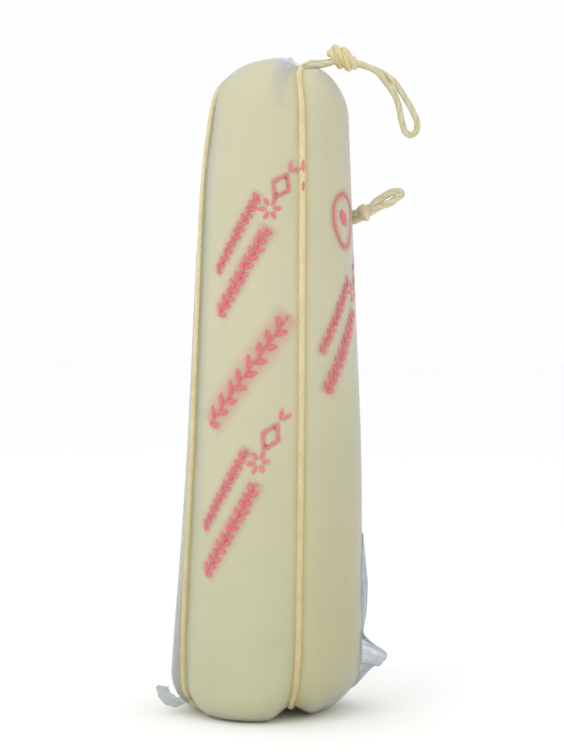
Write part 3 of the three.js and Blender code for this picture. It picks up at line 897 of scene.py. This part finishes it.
def add_left_web(material):
    """A slack patch of film behind the left string, low on the body; its grey tint is partly painted
    shade on the back-left lobe beneath.
    """
    z = np.linspace(0.006, LEFT_WEB["top"], 70)[:, None]
    share = np.linspace(0, 1, 30)[None, :]
    azimuth = lerp(LEFT_WEB["from"], LEFT_WEB["to"], share)
    puff = LEFT_WEB["off"] * np.sin(math.pi * share) + 0.0002
    crumple = 0.0002 * ruffle(z[:, 0] * 18, share[0] * 3, 5.5) * np.sin(math.pi * share)
    rows = side_point(azimuth, z, puff + crumple)
    piece = grid("film_left_web", rows)
    waver = 0.012 * ruffle(z[:, 0] * 9, share[0] * 2, 3.5)
    loose = smooth(share + 4 * waver, 0.05, 0.8) * (1 - smooth(share, 0.86, 1))
    loose = loose * (1 - smooth(z + waver - 0.03 * share, 0.0, LEFT_WEB["top"] - 0.03))
    mark_points(piece, "loose", loose * smooth(z, 0.002, 0.045))
    finish_piece(piece, material)


def add_crown_fold(material):
    """A low gathered fold from the crown knot over the front shoulder, made pale partly as a painted
    highlight of the film's gloss.
    """
    fold = between(CROWN_FOLD, 70)
    steps = np.linspace(3.0, 4.98, 300)
    radii = profile(steps, STRINGS["front"][0])[0]
    s = np.interp(-fold[:, 0], -radii, steps)
    u = np.linspace(0, 1, 70)
    v = np.linspace(-1, 1, 29)
    azimuth = fold[:, 1][:, None] + np.degrees(fold[:, 3] / fold[:, 0])[:, None] * v
    s = np.broadcast_to(s[:, None], azimuth.shape)
    point = lobed_profile(s, azimuth)
    crease = 0.7 + 0.3 * np.cos(v * 8 + 3 * u[:, None])
    lift = fold[:, 2][:, None] * (1 - v**2) * crease + 0.0004 * (1 - v**2) * ruffle(u * 2, v * 3, 1.7)
    rows = place(point, azimuth, film_inset(s, point, azimuth) - np.maximum(lift, 0) - 0.0002)
    piece = grid("film_crown_fold", rows)
    mark_points(piece, "loose", (1 - v**2)[None, :] * (1 - smooth(u, 0.3, 1))[:, None])
    finish_piece(piece, material)


# ---- print

MARK_LIFT = 0.00013
MARK_STACK = 0.000006  # between marks that may lie over each other
MARK_BLEED = 0.0015  # how far the ink has bled
HAZE_LIFT = MARK_LIFT - 0.00005
HAZE_INK = 0.32


class Marks:
    """Printed marks, as strips on the film, drawn in a frame of their own: p runs along the band of
    marks and q across it, in metres on the film's surface."""

    def __init__(self, azimuth, z, slant):
        self.azimuth, self.z, self.slant = azimuth, z, math.radians(slant)

    def on_film(self, p, q, lift):
        right = p * math.cos(self.slant) - q * math.sin(self.slant)
        z = self.z + p * math.sin(self.slant) + q * math.cos(self.slant)
        around = SIDE_RADIUS - self.z * math.tan(TAPER)
        return side_point(self.azimuth + np.degrees(right / around), z, lift)

    def strip(self, points, offsets, ink, lift, closed):
        """A strip along points. For each point, offsets holds the places across it, and ink how
        strong the ink is at them."""
        if closed:
            along = np.roll(points, -1, axis=0) - np.roll(points, 1, axis=0)
        else:
            along = np.gradient(points, axis=0)
        along = along / np.maximum(np.linalg.norm(along, axis=1), 1e-9)[:, None]
        across = np.stack([-along[:, 1], along[:, 0]], axis=-1)
        flat = points[:, None, :] + across[:, None, :] * offsets[..., None]
        rows = self.on_film(flat[..., 0], flat[..., 1], lift)
        if closed:
            rows = np.concatenate([rows, rows[:1]])
            ink = np.concatenate([ink, ink[:1]])
        piece = grid("mark", rows)
        mark_points(piece, "ink", ink)
        PRINTED.append(piece)

    def ribbon(self, points, half, closed=False):
        """A ribbon along points, half as wide as half says at each of them."""
        half = np.broadcast_to(np.asarray(half, float), len(points))
        offsets = np.stack([-half - MARK_BLEED, -half - 0.0003, -half + 0.0004, 0 * half], axis=-1)
        offsets = np.minimum(offsets, 0)
        offsets = np.concatenate([offsets, -offsets[:, 2::-1]], axis=1)
        ink = np.tile([0, 0.2, 0.85, 1, 0.85, 0.2, 0], (len(points), 1))
        lift = MARK_LIFT + MARK_STACK * (len(PRINTED) % 12)
        self.strip(points, offsets, ink, lift, closed)

    def haze(self, points, half, closed=False):
        """The faint pink that has spread from a line of marks."""
        share = np.linspace(-1, 1, 9)
        ink = np.tile(HAZE_INK * (1 - smooth(np.abs(share), 0.2, 1)), (len(points), 1))
        if not closed:
            ends = np.linspace(0, 1, len(points))
            ink *= smooth(np.minimum(ends, 1 - ends), 0, 0.05)[:, None]
        self.strip(points, np.tile(half * share, (len(points), 1)), ink, HAZE_LIFT, closed)

    def leaf(self, p, q, angle, length, width):
        t = np.linspace(0, 1, max(5, int(length / 0.0012)))
        turn = math.radians(angle)
        points = np.stack([p + length * t * math.cos(turn), q + length * t * math.sin(turn)], axis=-1)
        self.ribbon(points, width / 2 * np.sin(math.pi * np.clip(t, 0.02, 0.98)) ** 0.8)

    def garland(self, start, length, q, leaf, width, spacing):
        """A stem with leaves on both sides in turn."""
        stem = np.linspace(0, length, int(length / 0.0015))
        reach = np.linspace(start - 0.002, start + length + 0.003, 40)
        self.haze(np.stack([reach, 0 * reach + q], axis=-1), 1.45 * leaf)
        sway = 0.0004 * np.sin(stem * 420)
        self.ribbon(np.stack([start + stem, q + sway], axis=-1), 0.0006)
        for i in range(int(length / spacing)):
            side = 1 if i % 2 else -1
            size = leaf * (1 + 0.22 * noise.noise(Vector((i * 1.7, start * 40, q * 90))))
            self.leaf(start + i * spacing, q, side * (48 + 6 * math.sin(i * 2.1)), size, width)

    def rosette(self, p, q, size, petals):
        for i in range(petals):
            turn = 360 * i / petals
            inner = 0.24 * size
            place_ = (p + inner * math.cos(math.radians(turn)), q + inner * math.sin(math.radians(turn)))
            self.leaf(*place_, turn, 0.76 * size, 0.36 * size)

    def lozenge(self, p, q, long, wide, half):
        """An open lozenge."""
        corners = np.array([(p + long, q), (p, q + wide), (p - long, q), (p, q - wide), (p + long, q)])
        sides = zip(corners[:-1], corners[1:])
        points = np.vstack([np.linspace(a, b, 8, endpoint=False) for a, b in sides])
        self.haze(points, 0.003, closed=True)
        self.ribbon(points, half, closed=True)

    def egg(self, p, q, wide, tall, half):
        """An open oval, narrower below."""
        turn = np.linspace(0, 2 * math.pi, 72, endpoint=False)
        across = wide * np.cos(turn) * (1 + 0.22 * np.sin(turn))
        points = np.stack([p + across, q + tall * np.sin(turn)], axis=-1)
        self.haze(points, 0.005, closed=True)
        self.ribbon(points, half, closed=True)


PRINTED = []


def print_block(azimuth, z, size):
    """Two garlands, one above the other, with a rosette, a lozenge and a sprig at the end."""
    marks = Marks(azimuth, z, PRINT_SLANT)
    marks.garland(-0.028 * size, 0.058 * size, 0.0085 * size, 0.005, 0.0021, 0.0026)
    marks.garland(-0.05 * size, 0.065 * size, -0.0085 * size, 0.0064, 0.003, 0.003)
    marks.rosette(0.0262 * size, -0.0032, 0.008, 6)
    marks.lozenge(0.0425 * size, -0.002, 0.0085, 0.0062, 0.0007)
    marks.leaf(0.053 * size, -0.003, 24, 0.0085, 0.0028)
    marks.leaf(0.054 * size, -0.004, -34, 0.007, 0.0024)


def add_print(material):
    for azimuth, z, size in PRINT_BLOCKS:
        print_block(azimuth, z, size)
    for azimuth, z in PRINT_BANDS:
        Marks(azimuth, z, BAND_SLANT).garland(-0.044, 0.088, 0, 0.0092, 0.0034, 0.0052)
    for azimuth, z in BADGES:
        badge = Marks(azimuth, z, 0)
        badge.egg(0, 0, 0.012, 0.0185, 0.0006)
        badge.leaf(-0.005, 0.0072, -54, 0.0135, 0.0084)
    foot, _, crown = STRINGS["front"]
    for z, half in STRING_DABS:
        Marks(lerp(foot, crown, z / HEIGHT), z, 90).leaf(-half, 0, 0, 2 * half, 0.0022)
    piece = join("print_marks", PRINTED)
    finish_piece(piece, material)


# ---- twine


def centripetal(points, spacing):
    """Points evenly spaced along a centripetal Catmull-Rom curve through the given ones."""
    p = np.array(points, float)
    p = np.vstack([2 * p[0] - p[1], p, 2 * p[-1] - p[-2]])
    dense = []
    t = np.linspace(0, 1, 24, endpoint=False)[:, None]
    for a, b, c, d in zip(p, p[1:], p[2:], p[3:]):
        before, here, after = (max(np.linalg.norm(step) ** 0.5, 1e-6) for step in (b - a, c - b, d - c))
        leave = (b - a) / before - (c - a) / (before + here) + (c - b) / here
        reach = (c - b) / here - (d - b) / (here + after) + (d - c) / after
        leave = leave * here
        reach = reach * here
        cubic = 2 * b - 2 * c + leave + reach
        square = -3 * b + 3 * c - 2 * leave - reach
        dense.append(b + leave * t + square * t**2 + cubic * t**3)
    dense = np.vstack([*dense, p[-2:-1]])
    return resample(dense, spacing)


def lengths_along(points):
    return np.concatenate([[0], np.cumsum(np.linalg.norm(np.diff(points, axis=0), axis=1))])


def resample(points, spacing):
    lengths = lengths_along(points)
    count = max(2, int(round(lengths[-1] / spacing)) + 1)
    wanted = np.linspace(0, lengths[-1], count)
    return np.stack([np.interp(wanted, lengths, points[:, axis]) for axis in range(3)], axis=-1)


def carried_frames(path):
    """Tangents and a pair of normals that turn as little as they can along the path."""
    tangents = np.gradient(path, axis=0)
    tangents /= np.linalg.norm(tangents, axis=1)[:, None]
    helper = np.array([0, 0, 1.0]) if abs(tangents[0][2]) < 0.9 else np.array([1.0, 0, 0])
    normal = np.cross(tangents[0], helper)
    normals = []
    for tangent in tangents:
        normal = normal - tangent * np.dot(normal, tangent)
        normal = normal / np.linalg.norm(normal)
        normals.append(normal)
    normals = np.array(normals)
    return tangents, normals, np.cross(tangents, normals)


STRANDS = 3


def twine(name, path, radius, relief, pitch, sides):
    """Laid twine along a path. Its columns follow the strands. The attribute lay holds the length
    along the twine, the way round, and how near the middle of its strand a point is."""
    _, first, second = carried_frames(path)
    along = lengths_along(path)
    around = np.arange(sides) * 2 * math.pi / sides
    from_middle = np.abs(np.mod(around * STRANDS / (2 * math.pi) + 0.5, 1) - 0.5) * 2
    bulge = 1 - relief * from_middle**2.2
    turn = around[None, :] + (2 * math.pi * along / pitch)[:, None]
    waver = 1 + 0.03 * np.array([noise.noise(Vector((a * 160, 0, 0.7))) for a in along])
    size = radius * waver[:, None] * bulge[None, :]
    rows = path[:, None, :] + size[..., None] * (
        np.cos(turn)[..., None] * first[:, None, :] + np.sin(turn)[..., None] * second[:, None, :]
    )
    piece = closed_rings(name, rows, path[0], path[-1])
    near_middle = np.tile(1 - from_middle, len(path))
    lay = np.stack([np.repeat(along, sides), np.tile(around * radius, len(path)), near_middle], axis=-1)
    lay = np.vstack([lay, [[0, 0, 1], [along[-1], 0, 1]]])
    attribute = piece.data.attributes.new("lay", "FLOAT_VECTOR", "POINT")
    attribute.data.foreach_set("vector", lay.ravel())
    return piece


def string_run(name, lowest):
    """Where one string's middle runs, from the crown knot down to near the middle of the foot."""
    run = []
    edge = float(profile(4, 0)[0])
    s = 5 - 0.0068 / edge
    while s > lowest:
        azimuth = float(string_azimuth(name, s))
        point = lobed_profile(s, azimuth)
        run.append(place(point, azimuth, string_depth(name, point)))
        s -= 0.1
    return run


def add_string(name, down, up, material):
    crossing = np.array([FOOT_MEETING["x"], FOOT_MEETING["y"], CROSSING[down]])
    points = [*string_run(down, 0.12), crossing, *string_run(up, 0.12)[::-1]]
    path = centripetal(points, 0.0011)
    piece = twine(name, path, TWINE / 2, relief=0.05, pitch=0.022, sides=20)
    finish_piece(piece, material, [f"string_{down}_{up}"])


def paired_strands(route, turns):
    """Two strands that lie together along a route, turned round each other as turns says."""
    path = centripetal(route, 0.0005)
    count = 26
    places = np.linspace(0, len(path) - 1, count + 1).round().astype(int)
    tangents = np.gradient(path, axis=0)
    across = np.array([0, 1.0, 0])
    upper, lower = [], []
    for i, at in enumerate(places):
        upward = np.cross(tangents[at], across)
        upward /= np.linalg.norm(upward)
        turn = math.radians(np.interp(i / count, np.linspace(0, 1, len(turns)), turns))
        offset = (upward * math.cos(turn) + across * math.sin(turn)) * PAIR_SPACING / 2
        upper.append(path[at] + offset)
        lower.append(path[at] - offset)
    return upper, lower


def free_cord(name, points, diameter, replaced, material):
    """A cord that leaves the body, makes an eye and comes back to where it started."""
    path = centripetal(points, 0.0006)
    piece = twine(name, path, diameter / 2, relief=0.07, pitch=0.03, sides=28)
    finish_piece(piece, material, replaced)


def wound_knot(name, shape, material, replaced):
    """The turns of a knot: one strand winds round the cord, each turn leaning, and tucks in at both
    ends."""
    turns = shape["turns"]
    axis = np.array(shape["axis"], float) / np.linalg.norm(shape["axis"])
    side = np.array([0, 1.0, 0])
    side -= axis * np.dot(side, axis)
    side /= np.linalg.norm(side)
    up = np.cross(axis, side)
    t = np.linspace(0, 1, 60 * max(2, round(turns)))
    angle = shape["start"] + 2 * math.pi * turns * t
    tuck = smooth(np.minimum(t, 1 - t) * turns, 0, 0.28)
    belly = 0.55 + 0.45 * np.sin(math.pi * t) ** 0.7
    uneven = 1 + 0.08 * np.sin(angle * 0.7 + 1.3)
    size = lerp(0.25, 1, tuck) * shape["radius"] * belly * uneven
    forward = (t - 0.5) * turns * shape["pitch"] - shape["lean"] * size * np.sin(angle)
    around = side * (size * np.cos(angle))[:, None] + up * (size * np.sin(angle))[:, None]
    path = resample(np.array(shape["centre"]) + axis * forward[:, None] + around, 0.0006)
    piece = twine(name, path, shape["thick"] / 2, relief=0.06, pitch=0.034, sides=28)
    finish_piece(piece, material, [replaced])
    return piece


# ---- stage

FLOOR = 40.0  # half the floor's width
FLOOR_GREY = (0.98, 0.98, 0.98)
FLOOR_WHITE = (0.99, 0.99, 0.99)


def add_stage():
    floor_material, tree = new_material("floor")
    cloud = noise_share(tree, object_place(tree), 3, 2, 0.5)
    colour = mix(tree, cloud, FLOOR_GREY, FLOOR_WHITE)
    output(tree, coat(tree, colour, 0.9, 0.1))
    corners = [(-FLOOR, -FLOOR, 0), (FLOOR, -FLOOR, 0), (FLOOR, FLOOR, 0), (-FLOOR, FLOOR, 0)]
    floor = new_object("floor", corners, [(0, 1, 2, 3)])
    floor.data.materials.append(floor_material)
    world = bpy.data.worlds.new("studio")
    world.use_nodes = True
    background = world.node_tree.nodes["Background"]
    background.inputs["Color"].default_value = (1, 1, 1, 1)
    background.inputs["Strength"].default_value = 0.995
    bpy.context.scene.world = world
    bpy.context.scene.view_settings.view_transform = "Standard"


def add_light(name, place_, target, size, watts):
    data = bpy.data.lights.new(name, "AREA")
    data.size = size
    data.energy = watts
    light = show(name, data)
    light.location = place_
    light.rotation_euler = (Vector(target) - Vector(place_)).to_track_quat("-Z", "Y").to_euler()


# ---- build

add_stage()
add_light("key", (-1.3, -1.7, 1.7), (0, 0, 0.32), 1.2, 10.5)
add_light("top", (-0.3, 0.2, 2.2), (0, 0, 0.2), 1.4, 3)

held_twine = twine_material("twine_held", HELD_TWINE, 0.25)
free_twine = twine_material("twine_free", FREE_TWINE, 0.4)
knot_twine = twine_material("twine_knot", KNOT_TWINE, 0.4)
side_knot_twine = twine_material("twine_side_knot", SIDE_KNOT_TWINE, 0.4)

hanging_knot = wound_knot("knot_hanging", HANGING_KNOT, knot_twine, "hanging_knot")
side_knot = wound_knot("knot_side", SIDE_KNOT, side_knot_twine, "side_knot")
upper_strand, lower_strand = paired_strands([*HANGING_ROOT, *HANGING_PAIR], HANGING_TURNS)
free_cord(
    "cord_hanging", [*upper_strand, *HANGING_EYE, *lower_strand[::-1]], TWINE,
    ["hanging_root", "hanging_loop"], free_twine,
)
free_cord(
    "cord_side", [*SIDE_OUT, *SIDE_TIP, *SIDE_BACK], SIDE_TWINE, ["side_root", "side_loop"],
    free_twine,
)
add_cheese()
add_string("twine_front_back", "front", "back", held_twine)
add_string("twine_left_right", "left", "right", held_twine)
wound_knot("knot_crown", CROWN_KNOT, knot_twine, "crown_knot")
add_film(film_material())
add_right_ear(fold_material("film_ear", *EAR_LOOK))
add_left_tail(fold_material("film_tail", *TAIL_LOOK))
add_left_web(fold_material("film_web", *WEB_TINT_AND_SHADE_LOOK))
add_crown_fold(fold_material("film_crown", *CROWN_FOLD_GLOSS_LOOK))
add_print(print_material())
